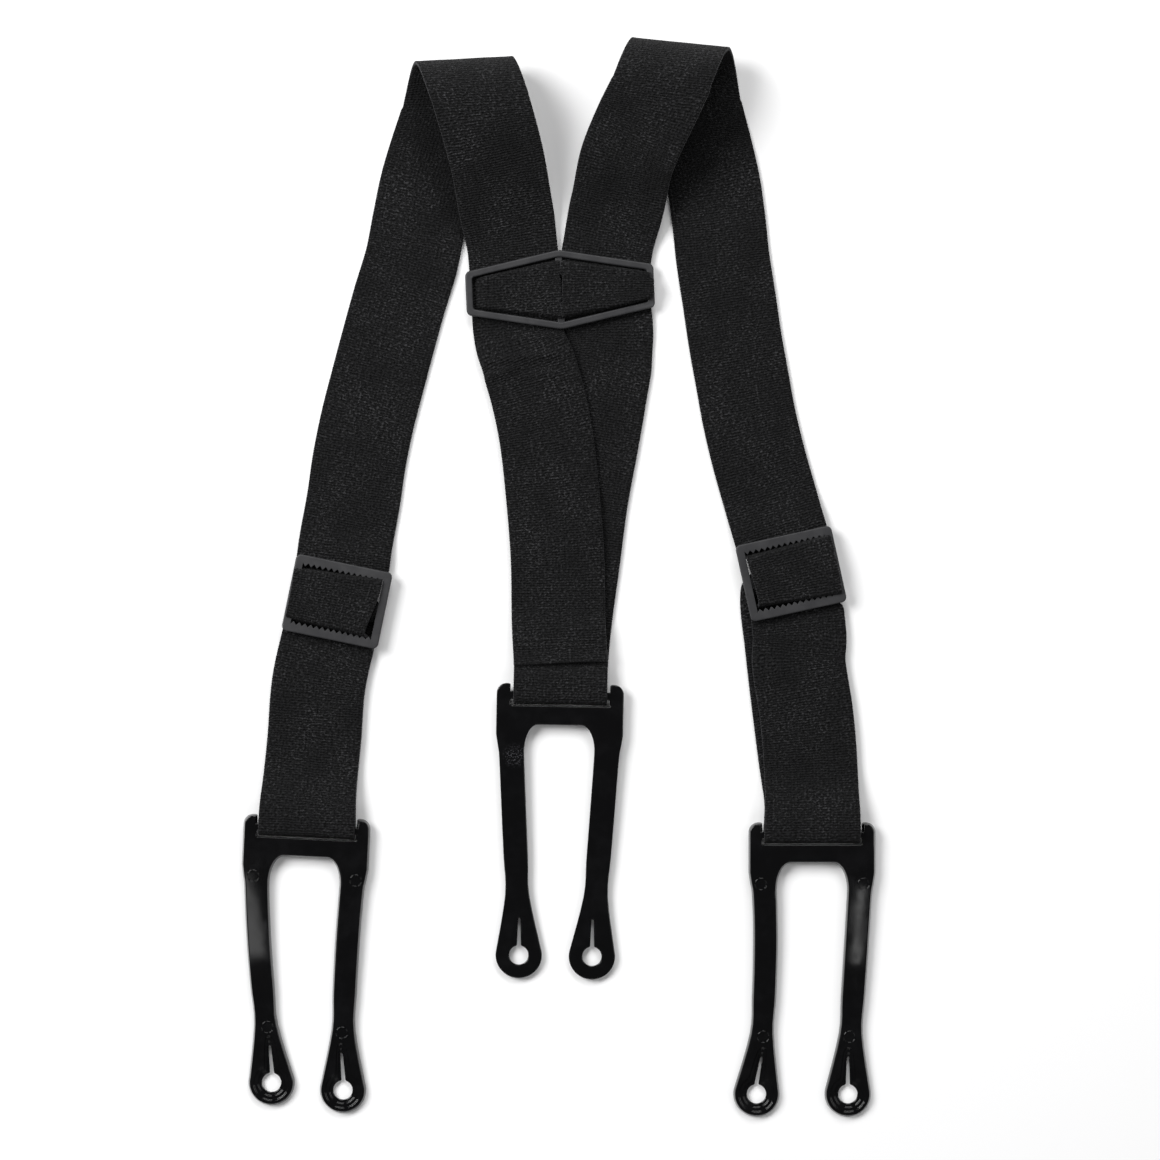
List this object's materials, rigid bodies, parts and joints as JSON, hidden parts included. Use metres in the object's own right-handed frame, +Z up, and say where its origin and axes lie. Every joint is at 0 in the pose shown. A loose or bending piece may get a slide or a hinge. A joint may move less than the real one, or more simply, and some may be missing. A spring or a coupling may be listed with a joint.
{
  "type": "button-on suspenders",
  "caption": "Elastic Y-back suspenders: webbing straps through a six-sided back plate and toothed slide adjusters, ending in forked loops with keyhole eyes for trouser buttons.",
  "frame": {"origin": "middle of the bounding box, on the surface that the suspenders lie on", "axes": "+Y from the button ends to the shoulder folds, +X to the right seen from above, +Z up"},
  "size_m": [0.257, 0.4366, 0.0285],
  "materials": {
    "webbing": "black elastic webbing, fine cross ribs",
    "fork_plastic": "glossy black moulded plastic",
    "buckle_plastic": "matte dark grey moulded plastic",
    "thread": "black sewing thread"
  },
  "bodies": {
    "straps": {"left_rear_webbing": "webbing", "right_rear_webbing": "webbing", "left_plate_webbing": "webbing", "right_plate_webbing": "webbing", "left_shoulder_webbing": "webbing", "right_shoulder_webbing": "webbing", "left_front_webbing": "webbing", "right_front_webbing": "webbing", "left_adjuster_webbing": "webbing", "right_adjuster_webbing": "webbing", "rear_fork_loop": "webbing", "rear_stitching": "thread"},
    "back_plate": {"back_plate": "buckle_plastic"},
    "rear_fork": {"rear_fork": "fork_plastic"},
    "left_adjuster": {"left_adjuster": "buckle_plastic", "left_return_webbing": "webbing", "left_drop_webbing": "webbing", "left_tail_stitching": "thread"},
    "left_loop": {"left_fork_loop": "webbing"},
    "left_fork": {"left_front_fork": "fork_plastic"},
    "right_adjuster": {"right_adjuster": "buckle_plastic", "right_return_webbing": "webbing", "right_drop_webbing": "webbing", "right_tail_stitching": "thread"},
    "right_loop": {"right_fork_loop": "webbing"},
    "right_fork": {"right_front_fork": "fork_plastic"}
  },
  "joints": [
    {"name": "back_plate_slide", "type": "slide", "parent": "straps", "child": "back_plate", "axis": [0, 1, 0], "range_m": [-0.05, 0.03], "deforming": ["left_plate_webbing", "right_plate_webbing"]},
    {"name": "left_adjuster_slide", "type": "slide", "parent": "straps", "child": "left_adjuster", "axis": [0.2028, 0.9792, 0], "range_m": [-0.05, 0.07], "deforming": ["left_adjuster_webbing"]},
    {"name": "left_loop_slide", "type": "slide", "parent": "left_adjuster", "child": "left_loop", "axis": [0.1329, 0.9911, 0], "range_m": [-0.0355, 0.0255], "deforming": ["left_drop_webbing", "left_return_webbing"]},
    {"name": "right_adjuster_slide", "type": "slide", "parent": "straps", "child": "right_adjuster", "axis": [-0.2147, 0.9767, 0], "range_m": [-0.05, 0.07], "deforming": ["right_adjuster_webbing"]},
    {"name": "right_loop_slide", "type": "slide", "parent": "right_adjuster", "child": "right_loop", "axis": [-0.0812, 0.9967, 0], "range_m": [-0.0355, 0.0255], "deforming": ["right_drop_webbing", "right_return_webbing"]},
    {"name": "left_fork_swing", "type": "hinge", "parent": "left_loop", "child": "left_fork", "pos_m": [-0.10262, -0.1006, 0.00395], "axis": [0.9988, -0.048, 0], "range_deg": [-90, 90]},
    {"name": "right_fork_swing", "type": "hinge", "parent": "right_loop", "child": "right_fork", "pos_m": [0.1022, -0.103, 0.00395], "axis": [1, 0, 0], "range_deg": [-90, 90]},
    {"name": "rear_fork_swing", "type": "hinge", "parent": "straps", "child": "rear_fork", "pos_m": [0.00011, -0.0468, 0.00395], "axis": [0.9998, -0.0192, 0], "range_deg": [-90, 90]}
  ],
  "couplings": [
    {"joint": "left_loop_slide", "follows": "left_adjuster_slide", "ratio": -0.5},
    {"joint": "right_loop_slide", "follows": "right_adjuster_slide", "ratio": -0.5}
  ]
}
